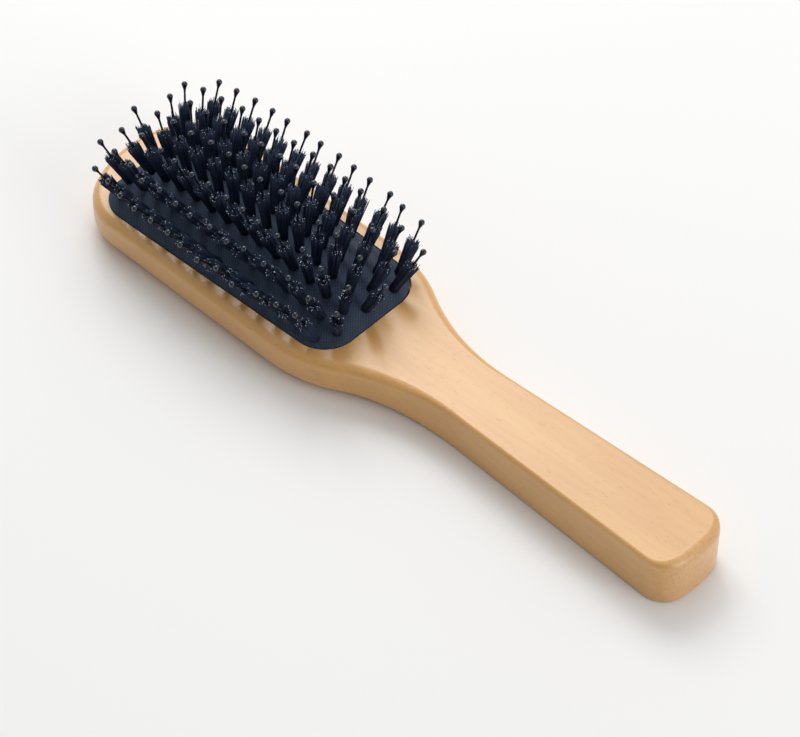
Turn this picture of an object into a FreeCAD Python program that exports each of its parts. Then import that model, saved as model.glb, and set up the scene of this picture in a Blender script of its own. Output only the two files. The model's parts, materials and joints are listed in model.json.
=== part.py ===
"""Wooden cushion brush: beech body, domed rubber cushion, and tufts of bristles round ball-tipped pins.

Lengths are in millimetres. The brush lies on its back on z = 0 with its bristles up, its head towards -X
and its handle towards +X. The origin is under the middle of the brush.
"""
import FreeCAD
import Part
import math
import os

Vector = FreeCAD.Vector

# Beech body, seen from above
body_length = 215.0
head_width = 50.2
head_length = 81.6  # from the end of the head to the start of its shoulders
head_end_radius = 34.5
head_corner_radius = 17.5
shoulder_radius = 43.0
neck_length = 56.1  # from the start of the shoulders to the narrowest place
neck_width = 20.5
handle_flare = 1.9  # degrees that each side of the handle opens towards its end
handle_end_radius = 44.0
handle_corner_radius = 7.8

# Beech body, seen from the side
head_thickness = 12.7
handle_thickness = 15.8  # at the end of the handle
bend_reach = 18.0  # from the bend in the top to both ends of its arc
head_top_rounding = 2.9
handle_top_rounding = 1.2
handle_end_rounding = 2.6
head_back_rounding = 5.5
handle_back_rounding = 1.2

# Pocket for the cushion
rim_width = 3.0  # wood beside the cushion at the end of the head
head_rim = 9.8  # wood beyond the cushion at the end of the head
pad_reach = 17.2  # how far the cushion runs on past the start of the shoulders
pad_narrowing = 5.4  # how much narrower the cushion is at its handle end
pad_corner_radius = 10.0
ledge_depth = 2.4
ledge_width = 1.3
pad_clearance = 0.15
floor_clearance = 0.5  # left under the lowest nail head when its tuft is pressed right in
press_travel = 3.0

# Cushion
crown_height = 7.3
dome_end_height = 0.3
flange_sink = 0.2  # from the wood's top down to the cushion's border
membrane = 1.4
dome_end_power = 4
dome_station_shares = (-0.96, -0.85, -0.68, -0.4, 0.0, 0.4, 0.68, 0.85, 0.96)
dome_panels = 6  # nearly flat panels across the dome

# Tuft pattern
rows = 7
ranks = 14
head_margin = 3.15  # from the cushion's border to the first tuft of the middle row
handle_margin = 3.95  # from the last tuft of the middle row to the cushion's border
side_margin = 3.0  # from the cushion's border to the outer rows at the narrow end

# Lean of the tufts, as shares of their length
row_lean_shares = (0.0, 0.30, 0.52, 0.65)  # from the middle row outwards
row_lean_loss_share = 0.34  # how much of it is lost towards both ends
rank_lean_shares = (0.147, 0.253)  # even growth towards the ends, and growth with its cube
rank_lean_loss_share = 0.8  # how much of it is lost in the outer rows

# Pins
pin_length = 17.0  # from the cushion to the tip
pin_diameter = 0.75
ball_diameter = 1.7
ball_length = 2.2
ball_belt_share = 0.55  # height of the widest place of the ball
ball_crown_share = 0.55  # width of the flat crown of the ball
nail_head_diameter = 2.2
nail_head_thickness = 0.8
nail_head_seat = 0.25  # from the bristles' root down to the nail head
pin_sides = 4

# Bristles
bristle_length = 12.0  # from the cushion to the top of the tuft
tuft_root_diameter = 2.6
tuft_top_diameter = 3.5
root_depth = 0.4  # how far the bristles' root hangs below the cushion
bore_clearance = 0.1
hole_clearance = 0.2
tuft_sides = 5

# Cuts run past the solids by the overrun, and edges count as lying on a plane within the touch
overrun = 2.0
touch = 1e-6

# Places worked out from the sizes above
head_end = -body_length / 2
handle_end = body_length / 2
shoulder_start = head_end + head_length
neck_place = shoulder_start + neck_length
pad_head_end = head_end + head_rim
pad_handle_end = shoulder_start + pad_reach
pad_length = pad_handle_end - pad_head_end
pad_middle = (pad_head_end + pad_handle_end) / 2
pad_head_width = head_width - 2 * rim_width
pad_handle_width = pad_head_width - pad_narrowing
ledge_level = head_thickness - ledge_depth
flange_level = head_thickness - flange_sink
first_tuft = pad_head_end + head_margin
last_tuft = pad_handle_end - handle_margin
field_middle = (first_tuft + last_tuft) / 2
rank_pitch = (last_tuft - first_tuft) / (ranks - 1)
row_pitch = (pad_handle_width - 2 * side_margin) / (rows - 1)
middle_row = rows // 2
root_reach = membrane + root_depth  # from the cushion's face down to the foot of the bristles
nail_reach = root_reach + nail_head_seat + nail_head_thickness


def arc(start, middle, end):
    """Arc through three points, as an edge."""
    return Part.Arc(start, middle, end).toShape()


def line(start, end):
    """Straight edge between two points."""
    return Part.LineSegment(start, end).toShape()


def on_arc(centre, radius, towards):
    """Point of a circle on the side that faces another point."""
    way = towards - centre
    return centre + way * (radius / way.Length)


def arc_round(centre, radius, start, end):
    """Shorter arc round a centre between two points of its circle, as an edge."""
    return arc(start, on_arc(centre, radius, start + end - centre), end)


def end_corner(point, way, inward, radius, end_centre, end_radius):
    """Centre of the corner arc that touches a side line and the end arc from inside."""
    start = point + inward * radius - end_centre
    along = start.dot(way)
    reach = end_radius - radius
    slip = math.sqrt(along**2 - start.dot(start) + reach**2) - along
    return point + inward * radius + way * slip


def side_edges():
    """Edges of the body's outline on its +Y side, from the head's end arc to the handle's end arc."""
    half_head = head_width / 2
    half_neck = neck_width / 2
    inward = Vector(0, -1, 0)
    head_centre = Vector(head_end + head_end_radius, 0, 0)
    shoulder = Vector(shoulder_start, half_head, 0)
    head_corner = end_corner(
        shoulder, Vector(-1, 0, 0), inward, head_corner_radius, head_centre, head_end_radius
    )
    head_meet = on_arc(head_corner, head_corner_radius, 2 * head_corner - head_centre)
    head_side = head_corner - inward * head_corner_radius

    # The shoulder arc turns as far as the neck arc turns back
    drop = half_head - half_neck
    turn = 2 * math.atan2(drop, neck_length)
    neck_radius = neck_length / math.sin(turn) - shoulder_radius
    shoulder_centre = shoulder + inward * shoulder_radius
    neck_centre = Vector(neck_place, half_neck + neck_radius, 0)
    inflection = on_arc(shoulder_centre, shoulder_radius, neck_centre)

    # The neck arc runs on a little past the narrowest place, into the flare of the handle
    flare = math.radians(handle_flare)
    handle_way = Vector(math.cos(flare), math.sin(flare), 0)
    handle_inward = Vector(math.sin(flare), -math.cos(flare), 0)
    handle_start = neck_centre + handle_inward * neck_radius
    handle_centre = Vector(handle_end - handle_end_radius, 0, 0)
    handle_corner = end_corner(
        handle_start, handle_way, handle_inward, handle_corner_radius, handle_centre, handle_end_radius
    )
    handle_meet = on_arc(handle_corner, handle_corner_radius, 2 * handle_corner - handle_centre)
    handle_side = handle_corner - handle_inward * handle_corner_radius

    return [
        arc_round(head_corner, head_corner_radius, head_meet, head_side),
        line(head_side, shoulder),
        arc_round(shoulder_centre, shoulder_radius, shoulder, inflection),
        arc_round(neck_centre, neck_radius, inflection, handle_start),
        line(handle_start, handle_side),
        arc_round(handle_corner, handle_corner_radius, handle_side, handle_meet),
    ]


def flipped(point):
    """The same point on the other side of the XZ plane."""
    return Vector(point.x, -point.y, point.z)


def body_outline():
    """Closed outline of the body on z = 0."""
    side = side_edges()
    other_side = [edge.mirror(Vector(0, 0, 0), Vector(0, 1, 0)) for edge in side]
    head_meet = side[0].Vertexes[0].Point
    handle_meet = side[-1].Vertexes[-1].Point
    ends = [
        arc(head_meet, Vector(head_end, 0, 0), flipped(head_meet)),
        arc(handle_meet, Vector(handle_end, 0, 0), flipped(handle_meet)),
    ]
    return Part.Wire(Part.__sortEdges__(side + other_side + ends))


def body_blank():
    """Body without its roundings and pocket: the outline, cut to a top that rises along the handle."""
    bend = Vector(pad_handle_end + bend_reach, 0, head_thickness)
    rise_way = (Vector(handle_end, 0, handle_thickness) - bend).normalize()
    flat_end = bend - Vector(bend_reach, 0, 0)
    rise_start = bend + rise_way * bend_reach
    bend_centre = flat_end + Vector(0, 0, bend_reach / math.tan(math.atan2(rise_way.z, rise_way.x) / 2))
    bend_middle = on_arc(bend_centre, bend_centre.z - head_thickness, bend)
    top_end = bend + rise_way * (handle_end + overrun - bend.x)
    corners = [
        rise_start,
        top_end,
        Vector(top_end.x, 0, 0),
        Vector(head_end - overrun, 0, 0),
        Vector(head_end - overrun, 0, head_thickness),
        flat_end,
    ]
    edges = [line(start, end) for start, end in zip(corners, corners[1:])]
    edges.append(arc(flat_end, bend_middle, rise_start))
    profile = Part.Face(Part.Wire(edges))
    width = head_width + 2 * overrun
    profile.translate(Vector(0, -width / 2, 0))
    slab = profile.extrude(Vector(0, width, 0))
    prism = Part.Face(body_outline()).extrude(Vector(0, 0, handle_thickness + overrun))
    return prism.common(slab)


def share_along(x, edge):
    """How far a place lies from an edge's end nearer the head to its other end, from 0 to 1."""
    start, end = sorted(vertex.X for vertex in edge.Vertexes)
    return min(1, max(0, (x - start) / (end - start)))


def rounding_at(x, head_radius, handle_radius, end_radius):
    """Radius of an edge rounding, which changes along the neck and round the handle's end corners."""
    neck_arc, corner_arc = side_edges()[3::2]
    neck_change = (handle_radius - head_radius) * share_along(x, neck_arc)
    return head_radius + neck_change + (end_radius - handle_radius) * share_along(x, corner_arc)


def rounded_body():
    """Body with its top and back edges rounded."""
    document = FreeCAD.newDocument("brush")
    blank = document.addObject("Part::Feature", "Blank")
    blank.Shape = body_blank().Solids[0]
    roundings = []
    for number, edge in enumerate(blank.Shape.Edges, 1):
        box = edge.BoundBox
        if box.ZMax < touch:
            radii = (head_back_rounding, handle_back_rounding, handle_back_rounding)
        elif box.ZMin > head_thickness - touch and box.XLength > touch:
            radii = (head_top_rounding, handle_top_rounding, handle_end_rounding)
        else:
            continue
        # Both edge loops run clockwise, seen from above
        ends = sorted((vertex.Point.x for vertex in edge.Vertexes), reverse=box.Center.y < 0)
        roundings.append((number, rounding_at(ends[0], *radii), rounding_at(ends[-1], *radii)))
    rounded = document.addObject("Part::Fillet", "Rounded")
    rounded.Base = blank
    rounded.Edges = roundings
    document.recompute()
    return rounded.Shape.Solids[0]


def pad_half_width(x):
    """Half the cushion's width at a place along the brush."""
    narrowing = pad_narrowing * (x - pad_head_end) / pad_length
    return (pad_head_width - narrowing) / 2


def pad_prism(inset, bottom, top):
    """Upright block inside the cushion's rounded, tapering outline, drawn in all round by the inset."""
    side_inset = inset * math.hypot(1, pad_narrowing / 2 / pad_length)
    radius = pad_corner_radius - inset
    corners = []
    for x, end in ((pad_head_end, 1), (pad_handle_end, -1)):
        place = x + end * inset
        half_width = pad_half_width(place) - side_inset
        corners += [Vector(place, -end * half_width, bottom), Vector(place, end * half_width, bottom)]
    arcs = []
    for index, corner in enumerate(corners):
        before = (corners[index - 1] - corner).normalize()
        after = (corners[(index + 1) % len(corners)] - corner).normalize()
        half_angle = before.getAngle(after) / 2
        run = radius / math.tan(half_angle)
        inward = (before + after).normalize()
        middle = corner + inward * (radius / math.sin(half_angle) - radius)
        arcs.append((corner + before * run, middle, corner + after * run))
    edges = []
    for index, (start, middle, end) in enumerate(arcs):
        edges += [line(arcs[index - 1][2], start), arc(start, middle, end)]
    return Part.Face(Part.Wire(edges)).extrude(Vector(0, 0, top - bottom))


def wooden_body(floor_level):
    """Beech body with the stepped pocket for the cushion and its air chamber."""
    top = head_thickness + overrun
    pocket = pad_prism(-pad_clearance, ledge_level, top)
    chamber = pad_prism(ledge_width, floor_level, top)
    return rounded_body().cut([pocket, chamber]).Solids[0]


def dome_rise(x):
    """Height of the cushion's dome over its border, along the middle of the brush."""
    share = min(1, abs(x - pad_middle) / (pad_length / 2))
    return dome_end_height + (crown_height - dome_end_height) * (1 - share**dome_end_power)


def dome_radius(x):
    """Radius of the dome's arc across the brush."""
    half_width = pad_half_width(x)
    rise = dome_rise(x)
    return (half_width**2 + rise**2) / (2 * rise)


def dome_level(x, y):
    """Height of the cushion's face above the ground."""
    radius = dome_radius(x)
    return flange_level + dome_rise(x) - radius + math.sqrt(radius**2 - y**2)


def dome_section(x, depth):
    """Section across the brush, a depth below the cushion's face, that runs out past its border."""
    reach = pad_half_width(x) + overrun
    base = ledge_level - depth - overrun
    places = [reach - 2 * reach * panel / dome_panels for panel in range(dome_panels + 1)]
    corners = [Vector(x, y, dome_level(x, y) - depth) for y in places]
    corners += [Vector(x, -reach, base), Vector(x, reach, base)]
    return Part.makePolygon(corners + corners[:1])


def dome_block(depth):
    """Block under the dome's panels, a depth below the cushion's face."""
    inner = [pad_middle + share * pad_length / 2 for share in dome_station_shares]
    stations = [pad_head_end - overrun] + inner + [pad_handle_end + overrun]
    return Part.makeLoft([dome_section(x, depth) for x in stations], True, True)


def cushion(places):
    """Rubber cushion: a domed membrane with a flange on the ledge, and a hole for every tuft."""
    top = head_thickness + crown_height + overrun
    outside = dome_block(0).common(pad_prism(0, ledge_level, top))
    inside = dome_block(membrane).common(pad_prism(ledge_width, ledge_level - membrane, top))
    radius = tuft_radius(membrane) + hole_clearance
    reach = membrane + overrun
    holes = [faceted(place, [(-reach, radius), (reach, radius)], tuft_sides) for place in places]
    return outside.cut(inside).cut(holes).Solids[0]


def tuft_place(row, step):
    """Placement of a tuft: its foot on the cushion's face, with its own Z axis along the pin."""
    out = row - middle_row
    along_share = step / (ranks / 2 - 1)
    out_share = abs(out) / middle_row
    even, cubed = rank_lean_shares
    lean_x = (even * along_share + cubed * along_share**3) * (1 - rank_lean_loss_share * out_share**2)
    lean_y = math.copysign(row_lean_shares[abs(out)], out) * (1 - row_lean_loss_share * along_share**2)
    axis = Vector(lean_x, lean_y, math.sqrt(1 - lean_x**2 - lean_y**2))
    x = field_middle + step * rank_pitch
    y = out * row_pitch
    return FreeCAD.Placement(Vector(x, y, dome_level(x, y)), FreeCAD.Rotation(Vector(0, 0, 1), axis))


def rank_places(rank):
    """Placements of one rank of tufts, which zigzags over the rows across the brush."""
    first_step = rank - (ranks - 1) / 2
    places = []
    for row in range(rows):
        if row % 2 == 1:
            places.append(tuft_place(row, first_step))
        elif rank < ranks - 1:
            places.append(tuft_place(row, first_step + 1 / 2))
    return places


def ring(place, along, radius, sides):
    """Corners of a regular polygon round a tuft's axis."""
    corners = []
    for side in range(sides):
        turn = 2 * math.pi * side / sides
        corners.append(place.multVec(Vector(radius * math.cos(turn), radius * math.sin(turn), along)))
    return corners


def flat_face(corners):
    """Plane face inside a closed run of corners."""
    return Part.Face(Part.makePolygon(corners + corners[:1]))


def faceted(place, profile, sides):
    """Solid of plane faces through polygons of the given heights and radii along a tuft's axis."""
    rings = [ring(place, along, radius, sides) for along, radius in profile]
    faces = [flat_face(rings[0][::-1]), flat_face(rings[-1])]
    for low, high in zip(rings, rings[1:]):
        for side in range(sides):
            after = (side + 1) % sides
            faces.append(flat_face([low[side], low[after], high[after], high[side]]))
    return Part.Solid(Part.Shell(faces))


def tuft_radius(along):
    """Radius of a bristle bundle, which widens evenly from its root to its top."""
    share = (along + root_reach) / (bristle_length + root_reach)
    return (tuft_root_diameter + (tuft_top_diameter - tuft_root_diameter) * share) / 2


def pin(place):
    """Ball-tipped pin with a conical nail head behind the cushion."""
    shaft = pin_diameter / 2
    ball = ball_diameter / 2
    ball_start = pin_length - ball_length
    profile = [
        (-nail_reach, nail_head_diameter / 2),
        (nail_head_thickness - nail_reach, shaft),
        (ball_start, shaft),
        (ball_start + ball_length * ball_belt_share, ball),
        (pin_length, ball * ball_crown_share),
    ]
    return faceted(place, profile, pin_sides)


def bristles(place):
    """Bundle of bristles with a bore for its pin."""
    profile = [(along, tuft_radius(along)) for along in (-root_reach, bristle_length)]
    bore_radius = pin_diameter / 2 + bore_clearance
    bore = faceted(place, [(-nail_reach, bore_radius), (pin_length, bore_radius)], pin_sides)
    return faceted(place, profile, tuft_sides).cut(bore).Solids[0]


def lowest_nail_head(places):
    """Lowest point of all nail heads, at rest."""
    corners = []
    for place in places:
        corners += ring(place, -nail_reach, nail_head_diameter / 2, pin_sides)
    return min(corner.z for corner in corners)


def main():
    """Build every piece and write it to its own file."""
    os.makedirs("parts", exist_ok=True)
    tufts = [rank_places(rank) for rank in range(ranks)]
    places = [place for rank in tufts for place in rank]
    floor_level = lowest_nail_head(places) - press_travel - floor_clearance
    wooden_body(floor_level).exportStep("parts/wooden_body.step")
    cushion(places).exportStep("parts/cushion.step")
    for number, rank in enumerate(tufts, 1):
        pins = Part.makeCompound([pin(place) for place in rank])
        pins.exportStep(f"parts/pin_rank_{number:02d}.step")
        bundles = Part.makeCompound([bristles(place) for place in rank])
        bundles.exportStep(f"parts/bristle_rank_{number:02d}.step")
    print("tufts", len(places), "chamber floor", round(floor_level, 2))


if __name__ == "__main__":
    main()
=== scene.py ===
"""Looks of a wooden cushion brush, in metres: beech, woven cushion, bristles and ball-tipped pins."""
import json
import math

import bmesh
import bpy
import numpy as np
from mathutils import Matrix, Vector


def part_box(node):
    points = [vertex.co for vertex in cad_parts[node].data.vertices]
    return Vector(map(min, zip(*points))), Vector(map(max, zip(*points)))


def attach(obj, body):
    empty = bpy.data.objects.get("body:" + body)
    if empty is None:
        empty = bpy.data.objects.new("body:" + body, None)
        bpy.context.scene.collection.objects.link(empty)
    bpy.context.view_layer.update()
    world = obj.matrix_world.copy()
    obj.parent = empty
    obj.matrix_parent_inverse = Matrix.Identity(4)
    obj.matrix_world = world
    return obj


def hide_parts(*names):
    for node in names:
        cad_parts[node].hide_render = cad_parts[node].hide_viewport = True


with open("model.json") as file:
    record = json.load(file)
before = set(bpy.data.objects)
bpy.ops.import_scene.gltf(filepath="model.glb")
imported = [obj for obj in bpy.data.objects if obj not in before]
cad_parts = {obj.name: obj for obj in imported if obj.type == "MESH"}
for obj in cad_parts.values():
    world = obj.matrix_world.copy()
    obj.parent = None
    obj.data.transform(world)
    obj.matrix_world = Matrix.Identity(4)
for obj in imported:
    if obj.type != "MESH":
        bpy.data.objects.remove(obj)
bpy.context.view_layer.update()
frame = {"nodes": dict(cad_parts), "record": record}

MM = 0.001
SEED = 7

# Camera
IMAGE_WIDTH = 800  # pixels
FOCAL_PIXELS = 3387
SENSOR_WIDTH = 36  # millimetres, as the camera counts them
CAMERA_PLACE = (417.1 * MM, -439.5 * MM, 701.2 * MM)
CAMERA_TARGET = (4.84 * MM, -4.75 * MM, 8.0 * MM)
CAMERA_ROLL = 0.37  # degrees
NEAR_CLIP = 10 * MM

# Pins, measured along their axes from the face of the cushion
NAIL_REACH = 2.85 * MM  # from the bottom of the nail head to the face
PIN_LENGTH = 17.7 * MM
PIN_DEPTH = 2.0 * MM
PIN_RADIUS = 0.36 * MM
PIN_TOP_RADIUS = 0.31 * MM
PIN_TAPER_SHARE = 0.6  # of the way up to the drop, where half the taper is done
BALL_RADIUS = 0.9 * MM
BALL_LENGTH = 3.0 * MM  # from the start of the drop to the tip
BALL_START = -38  # degrees up from the ball's equator, where the drop runs into the ball
BALL_END = 84  # degrees, at the rim of the small flat tip
BALL_RINGS = 9
DROP_SHARES = (0.25, 0.5, 0.75)
PIN_SIDES = 14

# Lean of the tufts
TILT_SPREAD = 1.6  # degrees, by chance
HEADWARD_LEAN = 0.132  # along X, at the middle of the cushion, for an axis of length 1
HEADWARD_LEAN_LOSS = 0.11  # how much of it is lost at both ends

# Bristles, their length and depth measured from the face of the cushion
BRISTLES_PER_TUFT = 160
BRISTLE_LENGTH = 10.5 * MM
BRISTLE_LENGTH_SPREAD = 0.6 * MM
BRISTLE_DEPTH = 0.6 * MM
BRISTLE_RADIUS = 0.115 * MM
BRISTLE_STRAY = 0.10 * MM
TUFT_RADIUS = 1.3 * MM
TUFT_TOP_RADIUS = 2.0 * MM
TUFT_OPENING_POWER = 1.5
TUFT_CORE = 0.06  # share of the bundle's area that is left to the pin
# Pale tips: a share of the bristles gets a pale, grown tip, a painted glint on the tufts' tops
GLINT_TIP_SHARE = 0.15
GLINT_TIP_GROWTH = 1.2  # times the radius, at a pale tip
TIP_TAPER = 0.65  # times the radius, at any other tip
BRISTLE_SIDES = 4
BRISTLE_RINGS = 4

# Cushion
PAD_HEAD_WIDTH = 44.2 * MM
PAD_HANDLE_WIDTH = 38.8 * MM
PAD_CORNER = 10.0 * MM
PAD_GAP = 0.25 * MM
BORDER_LEVEL = 12.5 * MM  # height of the dome at its long sides, before the gap is taken off
DOME_END = 0.3 * MM  # rise that is left at both ends
DOME_END_POWER = 4
MEMBRANE = 1.4 * MM
DIMPLE_DEPTH = 0.18 * MM
DIMPLE_RADIUS = 1.9 * MM
CUSHION_COLUMNS = 150
CUSHION_ROWS = 72
COLUMN_CROWDING = 0.45
ROW_CROWDING = 0.4

# Colours, each from the darker to the lighter tone
WOOD_TONES = ((0.63, 0.326, 0.094), (0.70, 0.396, 0.130))
GRAIN_TONES = ((0.93, 0.88, 0.82), (1, 1, 1))
GRAIN_SHARE = 0.55
FLECK_COLOUR = (0.38, 0.19, 0.075)
FLECK_SHARE = 0.6
# End grain on the handle's end, lighter and paler than the side grain: real end grain with painted fill
# light on it
END_GRAIN_AND_LIGHT_TONES = ((0.64, 0.335, 0.127), (0.73, 0.432, 0.186))
CLOTH_TONES = ((0.056, 0.085, 0.146), (0.079, 0.114, 0.186))
CLOTH_SHEEN = (0.55, 0.66, 0.85, 1)
PIN_TONES = ((0.004, 0.006, 0.013), (0.006, 0.010, 0.020))
PIN_SHINE = (0.78, 0.88, 1)
BRISTLE_TONES = ((0.026, 0.039, 0.077), (0.035, 0.053, 0.100))
# Pale tips of some bristles: painted glints
GLINT_TIP_TONES = ((0.35, 0.40, 0.48), (0.85, 0.91, 0.98))
FLOOR_TONES = ((0.87, 0.87, 0.87), (0.89, 0.89, 0.89))

# Patterns: noise in turns per metre along X, Y and Z, and the part of its range that counts
WOOD_CLOUDS = (18, 90, 90)
WOOD_GRAIN = (55, 1100, 1100)
WOOD_FLECKS = (420, 2600, 2600)
END_PORES = (300, 1500, 1500)
CLOTH_CLOUDS = (160, 160, 160)
FLOOR_CLOUDS = (3, 3, 3)
TONE_RANGE = (0.3, 0.7)
GRAIN_RANGE = (0.35, 0.65)
FLECK_RANGE = (0.68, 0.74)

# End grain with painted fill light on it, placed along X, and weave with painted shade in its hollows
END_GRAIN_AND_LIGHT_START = 103.5 * MM
END_GRAIN_AND_LIGHT_FULL = 106.3 * MM
WEAVE_PITCH = 0.62 * MM
# Weave colour follows the threads' height: painted shade in their hollows, a little painted light on
# their crowns
THREAD_HOLLOW_SHADE = 0.25  # brightness from the lowest to the highest place of the threads
THREAD_CROWN_LIGHT = 1.05

# Floor and light
FLOOR_HALF = 3.0
WORLD_COLOUR = (1.0, 0.995, 0.985, 1)
BRIGHT_SIDE = (-0.6, 0.65, 0.466)
DIM_BELOW, BRIGHT_ABOVE = -0.4, 0.7  # cosines of the angle to the bright side
DIM_STRENGTH, BRIGHT_STRENGTH = 0.25, 0.70
LAMPS = (  # name, place, aim, size and energy
    ("key", (-0.75, 0.38, 0.82), (-0.03, 0, 0.01), 0.6, 5.5),
    ("back", (-0.34, 0.51, 0.80), (0.03, 0, 0.01), 0.5, 1.9),
    ("fill", (0.95, 0.10, 0.45), (0.05, 0, 0.01), 0.6, 3.6),
)

# How close points lie that belong together
WELD = 0.001 * MM
END_SLACK = 0.05 * MM

# Sockets of a colour mix node: factor, first colour, second colour and result
MIX_INPUTS = (0, 6, 7)
MIX_RESULT = 2


def mesh_object(name, points, faces, look):
    """Smooth mesh object with one material."""
    mesh = bpy.data.meshes.new(name)
    mesh.from_pydata([tuple(point) for point in points], [], [tuple(face) for face in faces])
    mesh.materials.append(look)
    mesh.polygons.foreach_set("use_smooth", [True] * len(mesh.polygons))
    mesh.update()
    made = bpy.data.objects.new(name, mesh)
    bpy.context.scene.collection.objects.link(made)
    return made


def node(tree, kind, inputs=None, **settings):
    """Shader node with settings and inputs, where an input is a value or another node's output."""
    made = tree.nodes.new("ShaderNode" + kind)
    for key, value in settings.items():
        setattr(made, key, value)
    for key, value in (inputs or {}).items():
        if isinstance(value, bpy.types.NodeSocket):
            tree.links.new(value, made.inputs[key])
        else:
            made.inputs[key].default_value = value
    return made


def material(name, **sockets):
    """Material with a Principled shader, its tree and the shader."""
    made = bpy.data.materials.new(name)
    made.use_nodes = True
    shader = made.node_tree.nodes["Principled BSDF"]
    for key, value in sockets.items():
        shader.inputs[key.replace("_", " ")].default_value = value
    return made, made.node_tree, shader


def object_place(tree):
    """Coordinates of the object."""
    return node(tree, "TexCoord").outputs["Object"]


def along_axis(tree, axis):
    """One of the object's coordinates."""
    return node(tree, "SeparateXYZ", {"Vector": object_place(tree)}).outputs[axis]


def noise(tree, scale, detail):
    """Noise with its own scale along each axis of the object."""
    place = node(tree, "Mapping", {"Vector": object_place(tree), "Scale": scale}).outputs["Vector"]
    return node(tree, "TexNoise", {"Vector": place, "Scale": 1, "Detail": detail}).outputs["Fac"]


def ramp(tree, factor, colours, positions=TONE_RANGE):
    """Colour ramp from one colour to another between two positions."""
    made = node(tree, "ValToRGB", {"Fac": factor})
    for element, position, colour in zip(made.color_ramp.elements, positions, colours):
        element.position = position
        element.color = (*colour, 1)
    return made.outputs["Color"]


def mix(tree, factor, first, second, blend="MIX"):
    """Two colours mixed."""
    made = node(tree, "Mix", data_type="RGBA", blend_type=blend)
    for number, value in zip(MIX_INPUTS, (factor, first, second)):
        socket = made.inputs[number]
        if isinstance(value, bpy.types.NodeSocket):
            tree.links.new(value, socket)
        else:
            socket.default_value = value if isinstance(value, float) else (*value, 1)
    return made.outputs[MIX_RESULT]


def bump(tree, shader, height, strength, distance):
    """Fine relief on a shader."""
    made = node(tree, "Bump", {"Height": height, "Strength": strength, "Distance": distance})
    tree.links.new(made.outputs["Normal"], shader.inputs["Normal"])


def beech():
    """Pale beech: soft long grain, short darker flecks, and end grain on the handle's end, made lighter
    and paler there as painted fill light.
    """
    made, tree, shader = material(
        "beech", Roughness=0.38, Specular_IOR_Level=0.65, Coat_Weight=0.4, Coat_Roughness=0.25
    )
    grain = noise(tree, WOOD_GRAIN, detail=5)
    tone = ramp(tree, noise(tree, WOOD_CLOUDS, detail=3), WOOD_TONES)
    lines = ramp(tree, grain, GRAIN_TONES, GRAIN_RANGE)
    wood = mix(tree, GRAIN_SHARE, tone, lines, "MULTIPLY")
    specks = noise(tree, WOOD_FLECKS, detail=1)
    marks = ramp(tree, specks, ((0, 0, 0), (1, 1, 1)), FLECK_RANGE)
    faint = node(tree, "Math", {0: marks, 1: FLECK_SHARE}, operation="MULTIPLY")
    flecked = mix(tree, faint.outputs["Value"], wood, FLECK_COLOUR)
    # Handle's end: end grain pores, lighter and paler as painted fill light on the end
    end = node(
        tree,
        "MapRange",
        {"Value": along_axis(tree, "X"), "From Min": END_GRAIN_AND_LIGHT_START, "From Max": END_GRAIN_AND_LIGHT_FULL},
        interpolation_type="SMOOTHSTEP",
    )
    lit_end_grain = ramp(tree, noise(tree, END_PORES, detail=2), END_GRAIN_AND_LIGHT_TONES)
    colour = mix(tree, end.outputs["Result"], flecked, lit_end_grain)
    tree.links.new(colour, shader.inputs["Base Color"])
    bump(tree, shader, grain, strength=0.05, distance=0.2 * MM)
    return made


def wave(tree, axis, pitch):
    """Sine along one axis of the object, from -1 to 1."""
    turns = node(
        tree, "Math", {0: along_axis(tree, axis), 1: 2 * math.pi / pitch}, operation="MULTIPLY"
    )
    return node(tree, "Math", {0: turns.outputs["Value"]}, operation="SINE").outputs["Value"]


def weave():
    """Dark blue-black cushion cloth with a fine plain weave and a soft sheen, its colour darkened in
    the threads' hollows and lightened on their crowns as painted shade and light.
    """
    made, tree, shader = material(
        "weave",
        Roughness=0.5,
        Specular_IOR_Level=0.18,
        Sheen_Weight=0.15,
        Sheen_Roughness=0.4,
        Sheen_Tint=CLOTH_SHEEN,
    )
    weft = wave(tree, "X", WEAVE_PITCH)
    warp = wave(tree, "Y", WEAVE_PITCH)
    threads = node(tree, "Math", {0: weft, 1: warp}, operation="MULTIPLY").outputs["Value"]
    tone = ramp(tree, noise(tree, CLOTH_CLOUDS, detail=3), CLOTH_TONES)
    # Painted shade and light of the weave: darker where the threads lie low, lighter where they rise
    thread_shade = node(
        tree,
        "MapRange",
        {"Value": threads, "From Min": -1.0, "To Min": THREAD_HOLLOW_SHADE, "To Max": THREAD_CROWN_LIGHT},
    )
    colour = mix(tree, 1.0, tone, thread_shade.outputs["Result"], "MULTIPLY")
    tree.links.new(colour, shader.inputs["Base Color"])
    bump(tree, shader, threads, strength=1.0, distance=0.1 * MM)
    return made


def nylon(name, tones, roughness, gloss, grain, shine=(1, 1, 1)):
    """Nylon with slight changes of tone from place to place, and the colour of its shine."""
    made, tree, shader = material(
        name, Roughness=roughness, Specular_IOR_Level=gloss, Specular_Tint=(*shine, 1)
    )
    tone = ramp(tree, noise(tree, (grain, grain, grain), detail=2), tones)
    tree.links.new(tone, shader.inputs["Base Color"])
    return made


def solids(cad_node):
    """Vertices of each separate solid of a CAD node, in a fixed order."""
    grid = bmesh.new()
    grid.from_mesh(cad_node.data)
    bmesh.ops.remove_doubles(grid, verts=grid.verts, dist=WELD)
    left = set(grid.verts)
    groups = []
    while left:
        stack = [left.pop()]
        group = []
        while stack:
            vertex = stack.pop()
            group.append(tuple(vertex.co))
            for edge in vertex.link_edges:
                other = edge.other_vert(vertex)
                if other in left:
                    left.remove(other)
                    stack.append(other)
        groups.append(np.array(sorted(group)))
    grid.free()
    return sorted(groups, key=lambda points: tuple(points.mean(0).round(6)))


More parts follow.
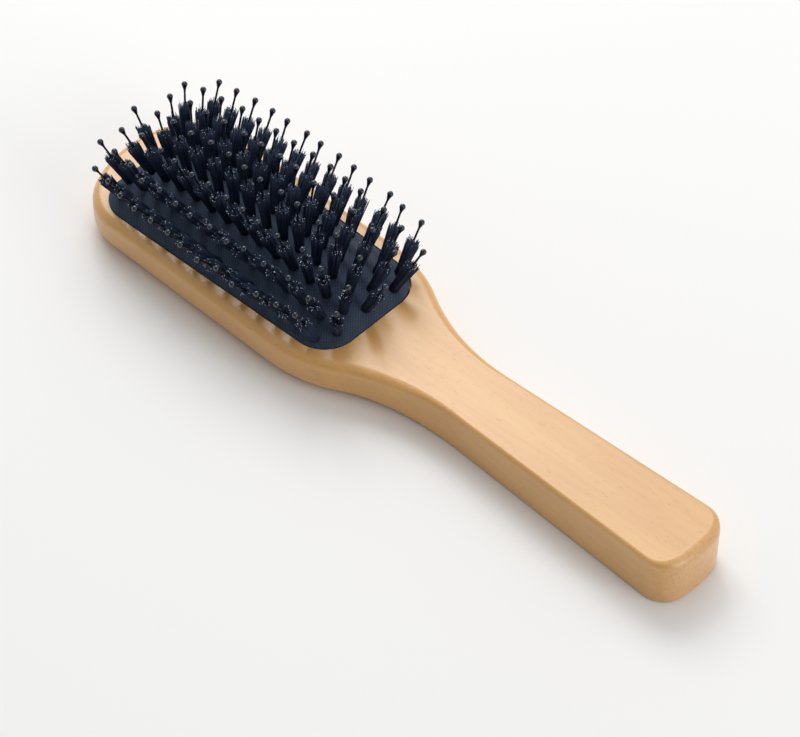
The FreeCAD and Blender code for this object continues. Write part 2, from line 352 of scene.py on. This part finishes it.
def tuft_axis(points):
    """Foot on the cushion's face and direction of a tuft, from its pin's solid."""
    middle = points.mean(0)
    way = np.linalg.svd(points - middle)[2][0]
    way *= math.copysign(1, way[2])
    along = (points - middle) @ way
    nail = points[along < along.min() + END_SLACK].mean(0)
    tip = points[along > along.max() - END_SLACK].mean(0)
    axis = (tip - nail) / np.linalg.norm(tip - nail)
    return nail + axis * NAIL_REACH, axis


def across(axis):
    """Two directions square to an axis."""
    first = np.cross(axis, (0, 1, 0))
    first /= np.linalg.norm(first)
    return first, np.cross(axis, first)


def leaning(foot, axis):
    """Axis of a tuft as it stands in its cushion, drawn towards the head, least at both ends."""
    lowest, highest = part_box("cushion")
    share = (2 * foot[0] - lowest.x - highest.x) / (highest.x - lowest.x)
    way = axis - np.array([HEADWARD_LEAN - HEADWARD_LEAN_LOSS * share**2, 0, 0])
    return way / np.linalg.norm(way)


def tilted(axis, chance):
    """An axis turned a little, by chance."""
    first, second = across(axis)
    turn = np.tan(np.radians(chance.normal(0, TILT_SPREAD, 2)))
    way = axis + first * turn[0] + second * turn[1]
    return way / np.linalg.norm(way)


def tube(paths, radii, sides):
    """Points and faces of closed tubes: paths is (tubes, rings, 3), radii is (tubes, rings)."""
    count, rings = radii.shape
    ways = paths[:, -1] - paths[:, 0]
    ways /= np.linalg.norm(ways, axis=1)[:, None]
    first = np.cross(ways, (0.0, 1.0, 0.0))
    first /= np.linalg.norm(first, axis=1)[:, None]
    second = np.cross(ways, first)
    turns = 2 * math.pi * np.arange(sides) / sides
    circle = np.cos(turns)[None, :, None] * first[:, None, :]
    circle = circle + np.sin(turns)[None, :, None] * second[:, None, :]
    points = paths[:, :, None, :] + radii[:, :, None, None] * circle[:, None, :, :]
    faces = []
    for tube_number in range(count):
        base = tube_number * rings * sides
        for ring in range(rings - 1):
            low = base + ring * sides
            for side in range(sides):
                after = (side + 1) % sides
                faces.append((low + side, low + after, low + sides + after, low + sides + side))
        faces.append(tuple(base + side for side in reversed(range(sides))))
        faces.append(tuple(base + (rings - 1) * sides + side for side in range(sides)))
    return points.reshape(-1, 3), faces


def pin_profile():
    """(height, radius) stations of a pin, from below the cushion over its drop to the tip."""
    drop = PIN_LENGTH - BALL_LENGTH
    centre = PIN_LENGTH - BALL_RADIUS
    ball = []
    for angle in np.radians(np.linspace(BALL_START, BALL_END, BALL_RINGS)):
        ball.append((centre + BALL_RADIUS * math.sin(angle), BALL_RADIUS * math.cos(angle)))
    stations = [
        (-PIN_DEPTH, PIN_RADIUS),
        (0, PIN_RADIUS),
        (drop * PIN_TAPER_SHARE, (PIN_RADIUS + PIN_TOP_RADIUS) / 2),
        (drop, PIN_TOP_RADIUS),
    ]
    ball_height, ball_start_radius = ball[0]
    for share in DROP_SHARES:
        ease = share * share * (3 - 2 * share)
        swell = (ease + share * share) / 2
        height = drop + (ball_height - drop) * share
        stations.append((height, PIN_TOP_RADIUS + (ball_start_radius - PIN_TOP_RADIUS) * swell))
    return np.array(stations + ball)


def pins(name, tufts, look):
    """All pins of a rank as one piece."""
    profile = pin_profile()
    paths = np.array([foot + np.outer(profile[:, 0], axis) for foot, axis in tufts])
    radii = np.repeat(profile[None, :, 1], len(tufts), 0)
    points, faces = tube(paths, radii, PIN_SIDES)
    return mesh_object(name, points, faces, look)


def bundle(foot, axis, chance):
    """Paths of the bristles of one tuft, which opens towards its uneven top."""
    first, second = across(axis)
    count = BRISTLES_PER_TUFT
    out = np.sqrt(chance.uniform(TUFT_CORE, 1, count))
    turn = chance.uniform(0, 2 * math.pi, count)
    spoke = np.cos(turn)[:, None] * first + np.sin(turn)[:, None] * second
    length = BRISTLE_LENGTH + chance.normal(0, BRISTLE_LENGTH_SPREAD, count)
    stray = chance.normal(0, BRISTLE_STRAY, (count, 2))
    rings = []
    for share in np.linspace(0, 1, BRISTLE_RINGS):
        spread = TUFT_RADIUS + (TUFT_TOP_RADIUS - TUFT_RADIUS) * share**TUFT_OPENING_POWER
        height = -BRISTLE_DEPTH + (length + BRISTLE_DEPTH) * share
        wander = (stray[:, :1] * first + stray[:, 1:] * second) * share**2
        rings.append(foot + height[:, None] * axis + (spread * out)[:, None] * spoke + wander)
    return np.stack(rings, 1)


def bristles(name, tufts, look, glint_look, chance):
    """All bristles of a rank as one piece, some of them with a pale tip painted on as a glint."""
    paths = np.concatenate([bundle(foot, axis, chance) for foot, axis in tufts])
    # Bristles whose tip is painted pale, as a painted glint
    pale = chance.uniform(0, 1, len(paths)) < GLINT_TIP_SHARE
    radii = np.full(paths.shape[:2], BRISTLE_RADIUS)
    radii[:, -1] *= np.where(pale, GLINT_TIP_GROWTH, TIP_TAPER)
    points, faces = tube(paths, radii, BRISTLE_SIDES)
    made = mesh_object(name, points, faces, look)
    made.data.materials.append(glint_look)
    per_bristle = len(faces) // len(paths)
    for bristle in np.flatnonzero(pale):
        made.data.polygons[int((bristle + 1) * per_bristle - 1)].material_index = 1
    return made


def pad_half_width(x, low, high):
    """Half the cushion's width between its tapering sides, without its corners."""
    share = (x - low) / (high - low)
    return (PAD_HEAD_WIDTH + (PAD_HANDLE_WIDTH - PAD_HEAD_WIDTH) * share) / 2


def pad_edge(x, low, high):
    """Half the cushion's width, with its round corners, a hair's breadth inside its pocket."""
    radius = PAD_CORNER - PAD_GAP
    into = np.minimum(x - low, high - x) - PAD_GAP
    corner = np.clip(radius - into, 0, radius)
    return pad_half_width(x, low, high) - PAD_GAP - (radius - np.sqrt(radius**2 - corner**2))


def dome(x, y, low, high, top):
    """Height of the cushion's face: an arc across, flat along the middle, falling to both ends."""
    share = np.clip(np.abs(x - (low + high) / 2) / ((high - low) / 2), 0, 1)
    rise = DOME_END + (top - BORDER_LEVEL - DOME_END) * (1 - share**DOME_END_POWER)
    half = pad_half_width(x, low, high)
    radius = (half**2 + rise**2) / (2 * rise)
    return BORDER_LEVEL + rise - radius + np.sqrt(radius**2 - y**2)


def crowded(count, crowding):
    """Shares from -1 to 1 that lie closer together towards both ends."""
    bow = np.sin(np.linspace(-math.pi / 2, math.pi / 2, count))
    return crowding * bow + (1 - crowding) * np.linspace(-1, 1, count)


def shell_faces(columns, rows):
    """Faces of a closed shell between two grids of points, with a wall round the border."""
    below = columns * rows
    faces = []
    for column in range(columns - 1):
        for row in range(rows - 1):
            corner = column * rows + row
            quad = (corner, corner + rows, corner + rows + 1, corner + 1)
            faces.append(quad)
            faces.append(tuple(below + point for point in reversed(quad)))
    last = (columns - 1) * rows
    border = list(range(0, last, rows)) + list(range(last, last + rows - 1))
    border += list(range(last + rows - 1, rows - 1, -rows)) + list(range(rows - 1, 0, -1))
    for here, after in zip(border, border[1:] + border[:1]):
        faces.append((here, below + here, below + after, after))
    return faces


def cushion_piece(tufts, look):
    """Domed membrane with a wall down to its seat and a slight dimple at every tuft."""
    lowest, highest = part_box("cushion")
    low, high, top = lowest.x, highest.x, highest.z
    reach = (high - low) / 2 - PAD_GAP
    stations = (low + high) / 2 + reach * crowded(CUSHION_COLUMNS, COLUMN_CROWDING)
    x = np.repeat(stations[:, None], CUSHION_ROWS, 1)
    y = pad_edge(x, low, high) * crowded(CUSHION_ROWS, ROW_CROWDING)[None, :]
    z = dome(x, y, low, high, top)
    for foot, _ in tufts:
        near = np.hypot(x - foot[0], y - foot[1])
        z -= DIMPLE_DEPTH * np.exp(-(near / DIMPLE_RADIUS) ** 2)
    under = z - MEMBRANE
    under[[0, -1], :] = lowest.z
    under[:, [0, -1]] = lowest.z
    points = [np.stack([x, y, level], -1).reshape(-1, 3) for level in (z, under)]
    faces = shell_faces(CUSHION_COLUMNS, CUSHION_ROWS)
    return mesh_object("cushion_cover", np.concatenate(points), faces, look)


def floor():
    """Plain pale floor that runs out far past the view."""
    look, tree, shader = material("pale_floor", Roughness=0.8, Specular_IOR_Level=0.1)
    tone = ramp(tree, noise(tree, FLOOR_CLOUDS, detail=1), FLOOR_TONES)
    tree.links.new(tone, shader.inputs["Base Color"])
    half = FLOOR_HALF
    corners = [(-half, -half, 0), (half, -half, 0), (half, half, 0), (-half, half, 0)]
    ground = mesh_object("floor", corners, [(0, 1, 2, 3)], look)


def light(name, place, aim, size, energy):
    """Soft square lamp that looks at a point."""
    lamp = bpy.data.lights.new(name, "AREA")
    lamp.size = size
    lamp.energy = energy
    made = bpy.data.objects.new(name, lamp)
    made.location = place
    made.rotation_euler = (Vector(aim) - Vector(place)).to_track_quat("-Z", "Y").to_euler()
    bpy.context.scene.collection.objects.link(made)


def studio():
    """Surroundings that are brighter behind the brush, two soft lamps there and one past its handle."""
    world = bpy.data.worlds.new("studio")
    world.use_nodes = True
    tree = world.node_tree
    sky = tree.nodes["Background"]
    sky.inputs["Color"].default_value = WORLD_COLOUR
    way = node(tree, "TexCoord").outputs["Generated"]
    facing = node(tree, "VectorMath", {0: way, 1: BRIGHT_SIDE}, operation="DOT_PRODUCT")
    level = node(
        tree,
        "MapRange",
        {
            "Value": facing.outputs["Value"],
            "From Min": DIM_BELOW,
            "From Max": BRIGHT_ABOVE,
            "To Min": DIM_STRENGTH,
            "To Max": BRIGHT_STRENGTH,
        },
        interpolation_type="SMOOTHSTEP",
    )
    tree.links.new(level.outputs["Result"], sky.inputs["Strength"])
    bpy.context.scene.world = world
    for lamp in LAMPS:
        light(*lamp)


def camera():
    """Camera where the photograph was taken from."""
    lens = bpy.data.cameras.new("camera")
    lens.sensor_width = SENSOR_WIDTH
    lens.sensor_fit = "HORIZONTAL"
    lens.lens = FOCAL_PIXELS * SENSOR_WIDTH / IMAGE_WIDTH
    lens.clip_start = NEAR_CLIP
    made = bpy.data.objects.new("camera", lens)
    back = (Vector(CAMERA_PLACE) - Vector(CAMERA_TARGET)).normalized()
    right = Vector((-back.y, back.x, 0)).normalized()
    up = back.cross(right)
    basis = Matrix((right, up, back)).transposed()
    turned = basis @ Matrix.Rotation(math.radians(CAMERA_ROLL), 3, "Z")
    made.matrix_world = Matrix.Translation(CAMERA_PLACE) @ turned.to_4x4()
    bpy.context.scene.collection.objects.link(made)
    bpy.context.scene.camera = made


def dress():
    """Build every piece and set it on its body."""
    body = frame["nodes"]["wooden_body"]
    body.data.materials.clear()
    body.data.materials.append(beech())
    pin_look = nylon("pin_nylon", PIN_TONES, roughness=0.05, gloss=0.85, grain=700, shine=PIN_SHINE)
    bristle_look = nylon("bristle_nylon", BRISTLE_TONES, roughness=0.5, gloss=0.15, grain=1500)
    # Pale material for some bristle tips: a painted glint
    glint_look = nylon("bristle_tip_glint", GLINT_TIP_TONES, roughness=0.3, gloss=0.5, grain=2500)
    chance = np.random.default_rng(SEED)
    every_tuft = []
    for body_name, nodes in sorted(frame["record"]["behaviour"]["bodies"].items()):
        pin_node = next((name for name in nodes if name.startswith("pin_")), None)
        if pin_node is None:
            continue
        bristle_node = next(name for name in nodes if name.startswith("bristle_"))
        straight = [tuft_axis(points) for points in solids(frame["nodes"][pin_node])]
        tufts = [(foot, tilted(leaning(foot, axis), chance)) for foot, axis in straight]
        every_tuft += tufts
        pin_piece = pins("pins_" + body_name, tufts, pin_look)
        bristle_piece = bristles("bristles_" + body_name, tufts, bristle_look, glint_look, chance)
        for piece, replaced, slot in (
            (pin_piece, pin_node, "pins"),
            (bristle_piece, bristle_node, "bristles"),
        ):
            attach(piece, body_name)
            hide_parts(replaced)
    cover = cushion_piece(every_tuft, weave())
    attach(cover, "brush")
    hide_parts("cushion")


dress()
floor()
studio()
camera()
bpy.context.scene.view_settings.view_transform = "Standard"
